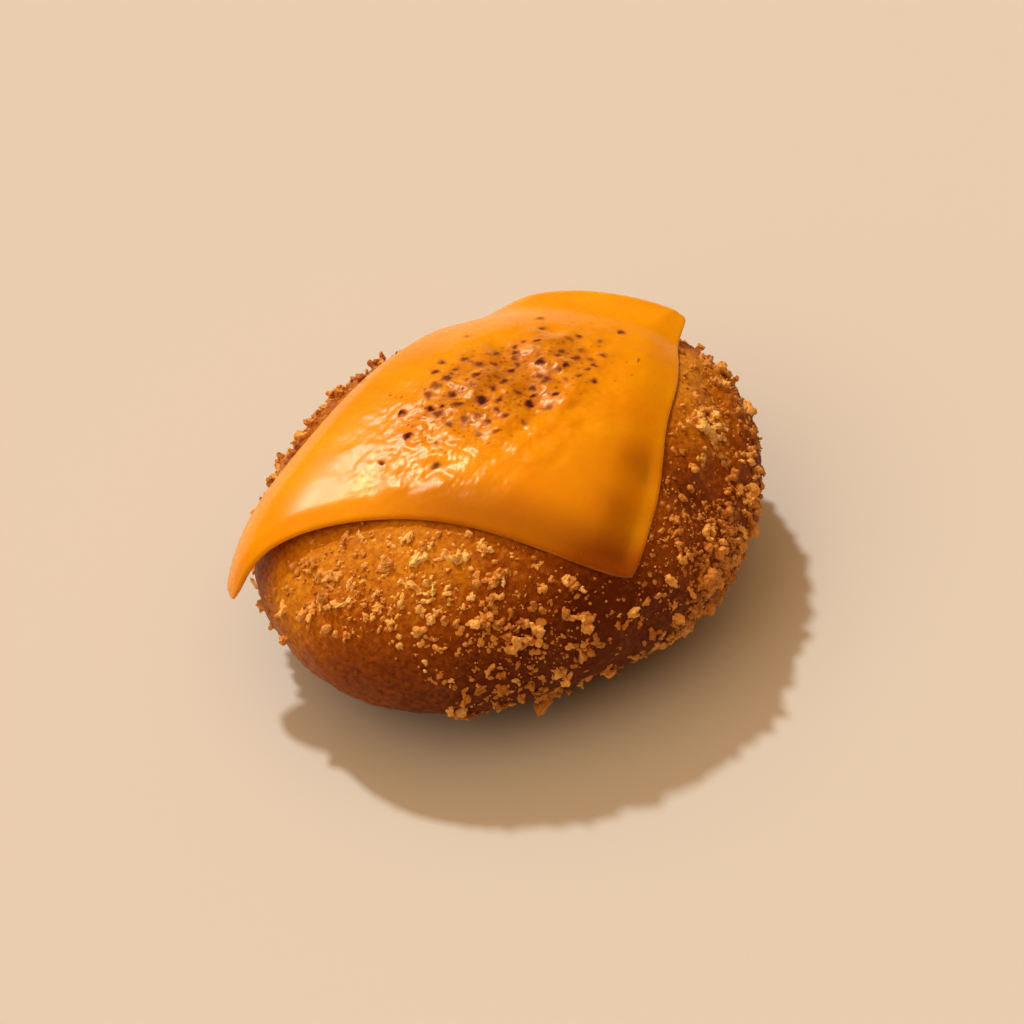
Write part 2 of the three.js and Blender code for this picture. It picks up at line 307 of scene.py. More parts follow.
CHEESE_ROUGHNESS = (0.08, 0.23)  # range with the noise, and start
HEAT_ROUGHNESS = -0.06  # what heat adds
HALO_ROUGHNESS = 0.6
# colour of the crust showing through the slice, also used as painted shade
THIN_AND_SHADED_COLOUR = (0.4, 0.1, 0.004)
TOASTED_COLOUR = (0.56, 0.2, 0.01)
TOASTED_PATCHES = (2.6, 4.0)
TOASTED_SHARES = ((0.36, (0.35,)), (0.6, (1.0,)))  # noise, share
DOT_SPACING = 3.2
DOT_COLOUR = (0.06, 0.004, 0.001)
HALO_COLOUR = (0.38, 0.08, 0.004)
HALO_SHARE = 0.9
SPECK_SPACING = 1.5
SPECK_COLOUR = (0.3, 0.055, 0.003)
SPECK_SHARE = 0.75

# Scorched dots. Lengths are shares of their spacing, and a pair for a straight line is its rise and start.
DOT_SHAKE = 0.7  # how far their outlines are shaken
DOT_SHAKE_FINENESS = 1.6
DOT_CHANCE = 0.9
DOT_BURN = (0.65, 0.45)  # darkness by the dot's draw
DOT_RADIUS = (0.17, 0.11)  # radius by the dot's draw
DOT_SKEW = 1.5  # most dots are small
DOT_GROWTH = (0.5, 0.6)  # size by the scorch
DOT_EDGE = (-0.16, 0.12)  # depths inside the radius where the colour begins and is full
HALO_EDGE = (-0.36, 0.06)

# Camera and light
CAMERA_AZIMUTH = -38.56  # turn about the vertical from -Y
CAMERA_ELEVATION = 48
CAMERA_DISTANCE = 800
CAMERA_AIM = (0.9, 0.7, 19.6)
LENS = 138.3
SENSOR = 36
KEY_AZIMUTH = 86.6  # plan direction towards the light, from +X
KEY_ELEVATION = 53.3
KEY_STRENGTH = 1.85
KEY_ANGLE = 4
KEY_COLOUR = (1, 0.95, 0.64)
FILL_AZIMUTH = 172
FILL_ELEVATION = 42
FILL_STRENGTH = 0.6
FILL_ANGLE = 50
FILL_COLOUR = (1, 0.84, 0.45)
SHEEN_AZIMUTH = 92
SHEEN_ELEVATION = 40
SHEEN_STRENGTH = 1.35
SHEEN_ANGLE = 11
SHEEN_COLOUR = (1, 0.95, 0.9)
SKY_LOW = (0.03, 0.012, 0.004)
SKY_HIGH = (1.15, 0.63, 0.2)
SKY_AXIS = (-0.12, 0.16, 0.98)  # direction of the brightest sky
SKY_START = 0.3  # share of that direction where the sky starts to brighten
FLOOR_SIZE = 6000
FLOOR_COLOUR = (0.66, 0.67, 0.9)
FLOOR_ROUGHNESS = 0.9

HALF_LENGTH = BUN_LENGTH / 2
HALF_WIDTH = BUN_WIDTH / 2
CROWN_HEIGHT = BUN_HEIGHT - BELLY_LEVEL
REST_TILT = math.acos(-BELLY_LEVEL / BELLY_DEPTH)


def unit(vectors):
    length = np.linalg.norm(vectors, axis=-1, keepdims=True)
    return vectors / np.maximum(length, NEAR_ZERO)


def smoothstep(low, high, value):
    share = np.clip((value - low) / (high - low), 0, 1)
    return share * share * (3 - 2 * share)


def blend(start, end, share):
    return start + (end - start) * np.asarray(share)[..., None]


def ripples(points, wavelength, seed):
    """Even noise of about unit height, as a sum of plane waves in all directions."""
    generator = np.random.default_rng(seed)
    turn = unit(generator.normal(size=(RIPPLE_COUNT, 3)))
    turn *= 2 * math.pi / (wavelength * generator.uniform(*RIPPLE_SPREAD, (RIPPLE_COUNT, 1)))
    phase = generator.uniform(0, 2 * math.pi, RIPPLE_COUNT)
    return np.sin(points @ turn.T + phase).sum(-1) * math.sqrt(2 / RIPPLE_COUNT)


def layers(points, waves, seed):
    """Height and noise of each layer of a relief."""
    for number, (wavelength, height) in enumerate(waves):
        yield height, ripples(points, wavelength, seed + number)


def spots(points, places):
    """Sum of round spots that die away from their centres."""
    total = np.zeros(points.shape[:-1])
    for centre, reach, share in places:
        distance = np.linalg.norm(points - np.array(centre), axis=-1)
        total += share * np.exp(-((distance / reach) ** 2))
    return total


# The crust

def cut_reach(direction):
    """Half length of the bun at its widest line, in a direction in plan."""
    return 1 / np.hypot(direction[..., 0] / HALF_LENGTH, direction[..., 1] / HALF_WIDTH)


def even_crust(direction, tilt):
    """Point and normal of the bun without unevenness, by a direction in plan and a tilt from the crown."""
    reach = cut_reach(direction)
    depth = np.where(tilt < math.pi / 2, CROWN_HEIGHT, BELLY_DEPTH)
    run = reach * np.sin(tilt)
    level = BELLY_LEVEL + depth * np.cos(tilt)
    point = np.stack([direction[..., 0] * run, direction[..., 1] * run, level], -1)
    out = depth * np.sin(tilt)
    normal = np.stack([direction[..., 0] * out, direction[..., 1] * out, reach * np.cos(tilt)], -1)
    return point, unit(normal)


def furrow_depth(furrows, point):
    plan = point[..., :2]
    depth = np.zeros(plan.shape[:-1])
    for start, end, reach, deepest in furrows:
        start = np.array(start)
        course = np.array(end) - start
        share = np.clip((plan - start) @ course / (course @ course), 0, 1)
        distance = np.linalg.norm(plan - start - share[..., None] * course, axis=-1)
        depth += deepest * np.exp(-((distance / reach) ** 2))
    return depth


def crust(direction, tilt):
    point, normal = even_crust(direction, tilt)
    swell = sum(height * np.sin(point @ np.array(turn) + phase) for turn, phase, height in SWELLS)
    level = point[..., 2]
    fade = smoothstep(BELLY_LEVEL, BELLY_LEVEL + FURROW_FADE, level)
    depth = furrow_depth(CRUST_FURROWS, point) * fade
    relief = (swell - depth) * smoothstep(0, RELIEF_FADE, level)
    return point + normal * relief[..., None], normal


def crust_distance(direction, tilt):
    """Distance along the crust from the crown down to a tilt."""
    step = np.asarray(tilt)[..., None] / WALK_STEPS
    middle = (np.arange(WALK_STEPS) + 0.5) * step
    depth = np.where(middle < math.pi / 2, CROWN_HEIGHT, BELLY_DEPTH)
    reach = cut_reach(direction)[..., None]
    return (np.hypot(reach * np.cos(middle), depth * np.sin(middle)) * step).sum(-1)


# The slice

def slice_place(across, back, melt=1):
    """Place on the slice in distances along the crust, from its shares of the sides.

    Melt is 1 for the melted slice and 0 for the outline of the solid.
    """
    u = 2 * across - 1
    v = 2 * back - 1
    tip = TIP_ROUNDING * ((1 - back) * (1 - across)) ** EDGE_PULL
    rounding = CORNER_ROUNDING + melt * (tip + BACK_ROUNDING * (back * across) ** EDGE_PULL)
    shrink = 1 - rounding * (u * v) ** CORNER_SHARPNESS
    round_across = 0.5 + 0.5 * u * shrink
    round_back = 0.5 + 0.5 * v * shrink
    front = blend(FRONT_LEFT + melt * LEFT_RUN, FRONT_RIGHT + melt * RIGHT_RUN, round_across)
    rear = blend(BACK_LEFT, BACK_RIGHT, round_across)
    leftward = unit(BACK_LEFT - BACK_RIGHT)
    sag = FRONT_SAG + melt * FRONT_RUN
    tongue = melt * (1 - smoothstep(0, TIP_START, across))
    front_bow = sag * (1 - u * u) * (1 - FRONT_SKEW * u) * (1 - round_back) * (1 - tongue)
    left_bow = LEFT_SAG * (1 - v * v) * (1 - LEFT_SKEW * v) * (1 - round_across) ** EDGE_PULL
    wave = RIGHT_WAVE * np.sin(2 * math.pi * RIGHT_WAVES * back) * round_across**EDGE_PULL
    inward = unit(rear - front) * front_bow[..., None]
    return blend(front, rear, round_back) + inward + leftward * (wave - left_bow)[..., None]


def slice_lift(across, back, place):
    """How far the slice stands off the crust: a fold along its back edge, and the hanging tip."""
    inset = (1 - back) * np.linalg.norm(FRONT_RIGHT - BACK_RIGHT)
    ridge = np.exp(-(((inset - FOLD_INSET) / FOLD_REACH) ** 2))
    fold = FOLD_HEIGHT * ridge * smoothstep(*FOLD_SPAN, across)
    tip = np.linalg.norm(place - FRONT_LEFT, axis=-1) / TIP_REACH
    return SLICE_GAP + fold + TIP_STANDOFF * np.exp(-(tip**2))


def drape(place):
    """Lays a place of the slice on the crust, or lets it hang where the crust is too steep."""
    direction = unit(place)
    reach = cut_reach(direction)[..., None]
    step = np.arctan(math.tan(HANG_SLOPE) * reach / CROWN_HEIGHT) / WALK_STEPS
    middle = (np.arange(WALK_STEPS) + 0.5) * step
    length = np.hypot(reach * np.cos(middle), CROWN_HEIGHT * np.sin(middle)) * step
    walked = np.cumsum(length, axis=-1)
    whole = np.linalg.norm(place, axis=-1)
    share = np.clip((whole[..., None] - walked + length) / length, 0, 1)
    point, normal = crust(direction, share.sum(-1) * step[..., 0])
    fall = np.linalg.norm(normal[..., :2], axis=-1)
    downhill = np.concatenate([direction * normal[..., 2:], -fall[..., None]], -1)
    rest = np.maximum(whole - walked[..., -1], 0)
    return point + downhill * rest[..., None], normal


def slice_outline(melt=1):
    share = np.arange(OUTLINE_STEPS) / OUTLINE_STEPS
    none = np.zeros(OUTLINE_STEPS)
    sides = ((share, none), (none + 1, share), (1 - share, none + 1), (none, 1 - share))
    return np.concatenate([slice_place(across, back, melt) for across, back in sides])


def outside_slice(outline, place):
    """Distance of a place on the crust from the points of the slice's outline, negative inside it."""
    gap = np.full(place.shape[:-1], np.inf)
    inside = np.zeros(place.shape[:-1], bool)
    for start, end in zip(outline, np.roll(outline, -1, axis=0)):
        gap = np.minimum(gap, np.linalg.norm(place - start, axis=-1))
        crosses = (start[1] > place[..., 1]) != (end[1] > place[..., 1])
        crossing = start[0] + (end[0] - start[0]) * (place[..., 1] - start[1]) / (end[1] - start[1])
        inside ^= crosses & (place[..., 0] < crossing)
    return np.where(inside, -gap, gap)


# Meshes

def grid_faces(index, closed=False):
    """Triangles between neighbouring rows of an index grid."""
    if closed:
        index = np.concatenate([index, index[:, :1]], axis=1)
    a, b, c, d = index[:-1, :-1], index[1:, :-1], index[1:, 1:], index[:-1, 1:]
    return np.concatenate([np.stack(corners, -1).reshape(-1, 3) for corners in ((a, b, c), (a, c, d))])


def sheet_faces(shape):
    """Triangles of a sheet: a grid on top and one for the underside, which share the rim's points."""
    top = np.arange(math.prod(shape)).reshape(shape)
    rim = np.ones(shape, bool)
    rim[1:-1, 1:-1] = False
    under = np.where(rim, top, top.size + top)
    upper = grid_faces(top)
    flat = rim.ravel()[upper].all(-1)  # triangles at corners, where top and underside are one
    return np.concatenate([upper[~flat][:, ::-1], grid_faces(under)[~flat]])


def make_piece(name, points, faces, material, node, marks, smooth=True):
    """A piece that stands for a solid and stays above the ground. A mark is a number at each point."""
    points = np.maximum(points, (-np.inf, -np.inf, 0))
    mesh = bpy.data.meshes.new(name)
    mesh.vertices.add(len(points))
    mesh.vertices.foreach_set("co", (points * MM).astype(np.float32).ravel())
    mesh.loops.add(faces.size)
    mesh.loops.foreach_set("vertex_index", faces.astype(np.int32).ravel())
    mesh.polygons.add(len(faces))
    mesh.polygons.foreach_set("loop_start", np.arange(0, faces.size, 3, dtype=np.int32))
    mesh.update(calc_edges=True)
    mesh.polygons.foreach_set("use_smooth", np.full(len(faces), smooth))
    for mark, values in marks.items():
        attribute = mesh.attributes.new(mark, "FLOAT", "POINT")
        attribute.data.foreach_set("value", values.astype(np.float32).ravel())
    mesh.materials.append(material)
    piece = bpy.data.objects.new(name, mesh)
    bpy.context.scene.collection.objects.link(piece)
    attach(piece, "root")
    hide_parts(node)


# Materials

def new_material(name, **values):
    """A material whose even values are set on the shader itself."""
    material = bpy.data.materials.new(name)
    material.use_nodes = True
    shader = material.node_tree.nodes["Principled BSDF"]
    for socket, value in values.items():
        shader.inputs[socket.replace("_", " ")].default_value = value
    return material, material.node_tree, shader


def add_node(tree, kind, settings=None, **values):
    """A shader node with its settings, and with a value or a link for each socket.

    A socket is given by its name, or as s0, s1 and so on by its number.
    """
    node = tree.nodes.new("ShaderNode" + kind)
    for setting, value in (settings or {}).items():
        setattr(node, setting, value)
    for socket, value in values.items():
        number = socket[1:]
        target = node.inputs[int(number) if number.isdigit() else socket.replace("_", " ")]
        if isinstance(value, bpy.types.NodeSocket):
            tree.links.new(value, target)
        else:
            target.default_value = value
    return node


def mark_value(tree, mark):
    return add_node(tree, "Attribute", {"attribute_name": mark}).outputs["Fac"]


def noise(tree, size, detail=3.0, roughness=0.55):
    """Noise from 0 to 1 with bumps of about a size in millimetres, fixed to the object."""
    place = add_node(tree, "TexCoord").outputs["Object"]
    scale = 1 / (size * MM)
    node = add_node(tree, "TexNoise", Vector=place, Scale=scale, Detail=detail, Roughness=roughness)
    return node.outputs["Fac"]


def math_node(tree, operation, *values):
    sockets = {f"s{number}": value for number, value in enumerate(values)}
    return add_node(tree, "Math", {"operation": operation}, **sockets).outputs[0]


def line(tree, value, rise, start):
    return math_node(tree, "MULTIPLY_ADD", value, rise, start)


def mottled(tree, value, size, detail, reach):
    """A value with noise added that reaches as far below it as above."""
    return math_node(tree, "ADD", value, line(tree, noise(tree, size, detail), reach, -reach / 2))


def ramp(tree, value, *stops):
    """Colours or greys between stops of (place, colour)."""
    node = add_node(tree, "ValToRGB", Fac=value)
    elements = node.color_ramp.elements
    elements[0].position = stops[0][0]
    elements[1].position = stops[-1][0]
    for place, _ in stops[1:-1]:
        elements.new(place)
    for element, (_, colour) in zip(elements, stops):
        element.color = (*colour, 1) if len(colour) == 3 else (*colour * 3, 1)
    return node.outputs["Color"]


def paint(tree, share, tone, colour):
    """A tone covered by a share of a colour."""
    node = add_node(tree, "Mix", {"data_type": "RGBA"}, s0=share)
    tree.links.new(tone, node.inputs[6])
    node.inputs[7].default_value = (*colour, 1)
    return node.outputs[2]


def add_bump(tree, shader, strength, height):
    bump = add_node(tree, "Bump", Strength=strength, Distance=BUMP_DEPTH * MM, Height=height)
    tree.links.new(bump.outputs["Normal"], shader.inputs["Normal"])


def crust_material():
    material, tree, shader = new_material(
        "fried_crust",
        Specular_IOR_Level=0.2,
        Specular_Tint=(1.0, 0.75, 0.35, 1.0),
    )
    browning_and_shade = mottled(tree, mark_value(tree, "browning_and_shade"), *CRUST_MOTTLE)
    browning_and_shade = mottled(tree, browning_and_shade, *CRUST_PATCHES)
    tree.links.new(ramp(tree, browning_and_shade, *CRUST_TONES), shader.inputs["Base Color"])
    roughness = ramp(tree, noise(tree, CRUST_GLOSS_SIZE), *CRUST_ROUGHNESS)
    tree.links.new(roughness, shader.inputs["Roughness"])
    add_bump(tree, shader, CRUST_BUMP, noise(tree, *CRUST_PITS))
    return material


def crumb_material():
    material, tree, shader = new_material(
        "bread_crumbs",
        Roughness=0.6,
        Specular_IOR_Level=0.3,
        Subsurface_Weight=0.2,
        Subsurface_Radius=(1.0, 0.9, 0.8),
        Subsurface_Scale=0.0004,
    )
    toast = mottled(tree, mark_value(tree, "toast"), *CRUMB_MOTTLE)
    tree.links.new(ramp(tree, toast, *CRUMB_TONES), shader.inputs["Base Color"])
    add_bump(tree, shader, CRUMB_BUMP, noise(tree, *CRUMB_PITS))
    return material


def scorch_dots(tree, scorch, spacing):
    """Scorched dots, more and larger ones where the slice was hotter, and their wider halos."""
    place = add_node(tree, "TexCoord").outputs["Object"]
    fineness = DOT_SHAKE_FINENESS / (spacing * MM)
    shake = add_node(tree, "TexNoise", Vector=place, Scale=fineness, Detail=2.0).outputs["Color"]
    shift = (DOT_SHAKE * spacing * MM,) * 3
    shaken = add_node(tree, "VectorMath", {"operation": "MULTIPLY_ADD"}, s0=shake, s1=shift, s2=place)
    cells = add_node(
        tree, "TexVoronoi", {"voronoi_dimensions": "2D"},
        Vector=shaken.outputs[0], Scale=1 / (spacing * MM), Randomness=1.0,
    )
    draws = add_node(tree, "SeparateColor", Color=cells.outputs["Color"]).outputs
    chosen = math_node(tree, "GREATER_THAN", math_node(tree, "MULTIPLY", scorch, DOT_CHANCE), draws[0])
    burnt = math_node(tree, "MULTIPLY", chosen, line(tree, draws[2], *DOT_BURN))
    drawn = line(tree, math_node(tree, "POWER", draws[1], DOT_SKEW), *DOT_RADIUS)
    radius = math_node(tree, "MULTIPLY", drawn, line(tree, scorch, *DOT_GROWTH))
    depth = math_node(tree, "SUBTRACT", radius, cells.outputs["Distance"])
    shares = []
    for edge, core in (DOT_EDGE, HALO_EDGE):
        share = add_node(
            tree, "MapRange", {"interpolation_type": "SMOOTHSTEP"},
            Value=depth, From_Min=edge, From_Max=core,
        )
        shares.append(math_node(tree, "MULTIPLY", share.outputs[0], burnt))
    return shares


def cheese_material():
    material, tree, shader = new_material(
        "melted_cheese",
        Subsurface_Weight=0.5,
        Subsurface_Radius=(0.8, 0.4, 0.05),
        Subsurface_Scale=0.002,
        Specular_IOR_Level=0.21,
        Specular_Tint=(1.0, 0.9, 0.8, 1.0),
    )
    heat = mark_value(tree, "heat")
    scorch = mark_value(tree, "scorch")
    toasted_share = ramp(tree, noise(tree, *TOASTED_PATCHES), *TOASTED_SHARES)
    dots, halos = scorch_dots(tree, scorch, DOT_SPACING)
    specks = scorch_dots(tree, scorch, SPECK_SPACING)[0]
    tone = ramp(tree, noise(tree, *CHEESE_PATCHES), *CHEESE_TONES)
    # thinner cheese showing the crust, and painted shade in the dips, the valley and the front strip
    tone = paint(tree, mark_value(tree, "thin_and_shaded"), tone, THIN_AND_SHADED_COLOUR)
    tone = paint(tree, math_node(tree, "MULTIPLY", scorch, toasted_share), tone, TOASTED_COLOUR)
    tone = paint(tree, math_node(tree, "MULTIPLY", specks, SPECK_SHARE), tone, SPECK_COLOUR)
    tone = paint(tree, math_node(tree, "MULTIPLY", halos, HALO_SHARE), tone, HALO_COLOUR)
    tone = paint(tree, dots, tone, DOT_COLOUR)
    tree.links.new(tone, shader.inputs["Base Color"])
    rough = line(tree, noise(tree, CHEESE_GLOSS_SIZE), *CHEESE_ROUGHNESS)
    rough = line(tree, heat, HEAT_ROUGHNESS, rough)
    rough = line(tree, halos, HALO_ROUGHNESS, rough)
    tree.links.new(rough, shader.inputs["Roughness"])
    return material


# The bun and the slice

def crust_grain(point, outside):
    """Fine relief of the crust, rougher at the bare end and none under the slice."""
    grain = sum(height * wave for height, wave in layers(point, GRAIN_WAVES, GRAIN_SEED))
    creased = sum(
        height * (CREASE_LEVEL - abs(wave))
        for height, wave in layers(point, ROUGH_WAVES, ROUGH_SEED)
    )
    rough = spots(point, [ROUGH_END])
    fade = smoothstep(0, GRAIN_CLEARANCE, outside) * smoothstep(0, RELIEF_FADE / 2, point[..., 2])
    return (grain + creased * rough) * fade


def crust_browning_and_shade(point):
    level = smoothstep(*BROWN_LEVELS, point[..., 2])
    # the dark spots hold a painted shadow under the slice's front edge
    browning_and_shade = BROWN_START + BROWN_RISE * level - spots(point, GOLDEN_SPOTS) + spots(point, DARK_AND_SHADOW_SPOTS)
    return np.clip(browning_and_shade, 0, 1)


def make_bun(outline):
    angle = 2 * math.pi * np.arange(BUN_SIDES) / BUN_SIDES
    direction = unit(np.stack([HALF_LENGTH * np.cos(angle), HALF_WIDTH * np.sin(angle)], -1))
    tilt = REST_TILT * np.arange(1, BUN_RINGS + 1) / BUN_RINGS
    direction, tilt = np.broadcast_arrays(direction[None], tilt[:, None, None])
    tilt = tilt[..., 0]
    point, normal = crust(direction, tilt)
    outside = outside_slice(outline, direction * crust_distance(direction, tilt)[..., None])
    point = point + normal * crust_grain(point, outside)[..., None]
    point[-1, :, 2] = 0
    crown = crust(np.array((1.0, 0.0)), np.array(0.0))[0]
    points = np.concatenate([crown[None], point.reshape(-1, 3), np.zeros((1, 3))])
    index = 1 + np.arange(BUN_RINGS * BUN_SIDES).reshape(BUN_RINGS, BUN_SIDES)
    top, bottom = index[0], index[-1]
    ends = np.full(BUN_SIDES, len(points) - 1)
    faces = np.concatenate([
        np.stack([np.zeros_like(top), top, np.roll(top, -1)], -1),
        grid_faces(index, closed=True),
        np.stack([ends, np.roll(bottom, -1), bottom], -1),
    ])
    marks = {"browning_and_shade": crust_browning_and_shade(points)}
    make_piece("fried_bun", points, faces, crust_material(), "bun", marks)


def rim_shares(count, side, hot):
    """Shares along a side of the slice, close together at its two round rims and in the heated zone."""
    rim = SLICE_THICKNESS / 2 / side
    turn = np.linspace(0, math.pi / 2, RIM_STEPS, endpoint=False)
    start = rim * (1 - np.cos(turn))
    even = np.linspace(rim, 1 - rim, WALK_STEPS)
    walked = np.cumsum(1 + HOT_DENSITY * np.exp(-(((even - hot) / HOT_REACH) ** 2)))
    middle = np.interp(np.linspace(walked[0], walked[-1], count), walked, even)
    return np.concatenate([start, middle, 1 - start[::-1]])


def heat_at(point, centre, reach):
    share = (point[..., :2] - np.array(centre)) / np.array(reach)
    return np.exp(-(share**2).sum(-1) ** 2)


def slice_thickness(sides, front):
    """Thickness by the distances from the front edge and from the nearest of the others."""
    share = RIM_SHARE + (1 - RIM_SHARE) * smoothstep(0, RIM_TAPER, sides)
    front_share = FRONT_RIM_SHARE + (1 - FRONT_RIM_SHARE) * smoothstep(0, FRONT_TAPER, front)
    return SLICE_THICKNESS * share * front_share


def make_cheese():
    width = np.linalg.norm(FRONT_LEFT - FRONT_RIGHT)
    depth = np.linalg.norm(FRONT_RIGHT - BACK_RIGHT)
    columns = rim_shares(SLICE_COLUMNS, width, HOT_SHARE[0])
    rows = rim_shares(SLICE_ROWS, depth, HOT_SHARE[1])
    across, back = np.meshgrid(columns, rows)
    place = slice_place(across, back)
    point, normal = drape(place)
    front = back * depth
    sides = np.minimum(np.minimum(across, 1 - across) * width, (1 - back) * depth)
    inset = np.minimum(sides, front)
    rim = np.clip(1 - inset / (SLICE_THICKNESS / 2), 0, 1)
    thickness = slice_thickness(sides, front)
    half = thickness / 2 * np.sqrt(1 - rim**2)
    middle = slice_lift(across, back, place) + thickness / 2
    heat = heat_at(point, HEAT_CENTRE, HEAT_REACH)
    blisters = sum(height * wave for height, wave in layers(point, BLISTER_WAVES, BLISTER_SEED))
    fade = smoothstep(0, RELIEF_INSET, inset)
    relief = (heat * blisters - furrow_depth(SLICE_FURROWS, point)) * fade
    upper = point + normal * (middle + half + relief)[..., None]
    lower = point + normal * (middle - half)[..., None]
    used, faces = np.unique(sheet_faces(across.shape), return_inverse=True)
    faces = faces.reshape(-1, 3)
    points = np.concatenate([upper.reshape(-1, 3), lower.reshape(-1, 3)])[used]
    # the front strip is thinner and darker: painted shade where it faces away from the light
    front_thin_and_shaded = FRONT_THIN_AND_SHADED * smoothstep(*FRONT_FADE, front) * smoothstep(*FRONT_START, across)
    marks = {
        "heat": heat_at(points, HEAT_CENTRE, HEAT_REACH) - spots(points, MATTE_SPOTS),
        "scorch": heat_at(points, SCORCH_CENTRE, SCORCH_REACH),
        "thin_and_shaded": np.clip(spots(points, THIN_AND_SHADED_SPOTS) + np.tile(front_thin_and_shaded.ravel(), 2)[used], 0, 1),
    }
    make_piece("melted_slice", points, faces, cheese_material(), "cheese_slice", marks)


# The crumbs

def lehmer(seed):
    """Repeatable draws between 0 and 1."""
    while True:
        seed = seed * LEHMER_FACTOR % LEHMER_RANGE
        yield seed / LEHMER_RANGE


def skip(draw, count):
    for _ in range(count):
        next(draw)


def crumb_density(point, even=EVEN_SHARE, extra=()):
    return even + spots(point, CRUMB_SPOTS) + spots(point, extra)


def solid_crumbs():
    """Centres and radii of the lumps that the solid has."""
    outline = slice_outline(melt=0)
    draw = lehmer(CRUMB_SEED)
    crumbs = []
    while len(crumbs) < CRUMB_COUNT:
        radius = LARGEST_CRUMB + (SMALLEST_CRUMB - LARGEST_CRUMB) * len(crumbs) / CRUMB_COUNT
        heading = 2 * math.pi * next(draw)
        tilt = math.acos(1 + (math.cos(REST_TILT) - 1) * next(draw))
        chance = next(draw)
        direction = np.array((math.cos(heading), math.sin(heading)))
        point, normal = crust(direction, np.array(tilt))
        twin = TWIN_SIZE if len(crumbs) < TWIN_CRUMBS else 0
        reach = radius * (1 + twin) * (1 + CRUMB_JITTER)
        close = any(
            np.linalg.norm(other - point) < CRUMB_SPACING * (size + radius)
            for other, _, size in crumbs
        )
        if chance >= crumb_density(point) or point[2] <= reach + GROUND_CLEARANCE or close:
            continue
        place = direction * crust_distance(direction, tilt)
        if outside_slice(outline, place) > reach + SLICE_CLEARANCE:
            crumbs.append((point, normal, radius))
    lumps = []
    for number, (point, normal, radius) in enumerate(crumbs):
        lumps.append((point + normal * CRUMB_RISE * radius, radius))
        skip(draw, LUMP_DRAWS)
        if number < TWIN_CRUMBS:
            drawn = np.array([next(draw) - 0.5 for _ in range(3)])
            aside = unit(np.cross(drawn, normal))
            lumps.append((point + aside * radius, TWIN_SIZE * radius))
            skip(draw, LUMP_DRAWS)
    return tuple(np.array(column) for column in zip(*lumps))


def scattered(outline, generator, count, radii, even, extra):
    """Points, normals and radii at random on the bare crust, thicker where crumbs are thick."""
    found = []
    total = 0
    while total < count:
        heading = generator.uniform(0, 2 * math.pi, count)
        tilt = np.arccos(1 + (math.cos(REST_TILT) - 1) * generator.uniform(0, 1, count))
        radius = radii[0] + (radii[1] - radii[0]) * generator.uniform(0, 1, count) ** SIZE_SKEW
        direction = np.stack([np.cos(heading), np.sin(heading)], -1)
        point, normal = crust(direction, tilt)
        outside = outside_slice(outline, direction * crust_distance(direction, tilt)[..., None])
        stays = generator.uniform(0, 1, count) < crumb_density(point, even, extra)
        stays &= (outside > radius * CLEAR_RADII) & (point[:, 2] > radius * CLEAR_RADII)
        found.append((point[stays], normal[stays], radius[stays]))
        total += stays.sum()
    return tuple(np.concatenate(column)[:count] for column in zip(*found))


def ball(subdivisions):
    """Points and triangles of a unit ball."""
    mesh = bmesh.new()
    bmesh.ops.create_icosphere(mesh, subdivisions=subdivisions, radius=1)
    points = np.array([vertex.co for vertex in mesh.verts])
    faces = np.array([[vertex.index for vertex in face.verts] for face in mesh.faces])
    mesh.free()
    return points, faces


def random_turns(generator, count):
    turns = np.linalg.qr(generator.normal(size=(count, 3, 3)))[0]
    return turns * np.sign(np.linalg.det(turns))[:, None, None]


def lumps_mesh(generator, centre, radius, shape):
    """Rough lumps: each is a ball with swellings, jittered points and its own proportions."""
    subdivisions, least, height, jitter = shape
    template, triangles = ball(subdivisions)
    count = len(centre)
    turn = generator.normal(size=(count, LUMP_SWELLS, 3)) * LUMP_TURN
    phase = generator.uniform(0, 2 * math.pi, (count, LUMP_SWELLS))
    swell = np.sin(np.einsum("vj,nwj->nvw", template, turn) + phase[:, None]).sum(-1) * height
    swell += generator.uniform(-jitter, jitter, swell.shape)
    sizes = radius[:, None] * generator.uniform(least, LUMP_LARGEST, (count, 3))
    shaped = template * (1 + swell)[..., None] * sizes[:, None]
    points = np.einsum("nij,nvj->nvi", random_turns(generator, count), shaped) + centre[:, None]
    faces = triangles[None] + (np.arange(count) * len(template))[:, None, None]
    return points.reshape(-1, 3), faces.reshape(-1, 3), len(template)


def join(parts):
    """One mesh from several: points, triangles and marks."""
    points = np.concatenate([part[0] for part in parts])
    starts = np.cumsum([0] + [len(part[0]) for part in parts[:-1]])
    faces = np.concatenate([part[1] + start for part, start in zip(parts, starts)])
    return points, faces, np.concatenate([part[2] for part in parts])


def modified(mesh, changes):
    """Points and triangles of a mesh after modifiers, each a kind with its settings."""
    shape = bpy.data.objects.new("shape", mesh)
    bpy.context.scene.collection.objects.link(shape)
    for kind, settings in changes:
        modifier = shape.modifiers.new(kind, kind)
        for setting, value in settings.items():
            setattr(modifier, setting, value)
    result = shape.evaluated_get(bpy.context.evaluated_depsgraph_get()).to_mesh()
    result.calc_loop_triangles()
    points = np.array([vertex.co for vertex in result.vertices])
    faces = np.array([triangle.vertices for triangle in result.loop_triangles])
    bpy.data.objects.remove(shape)
    bpy.data.meshes.remove(mesh)
    return points, faces


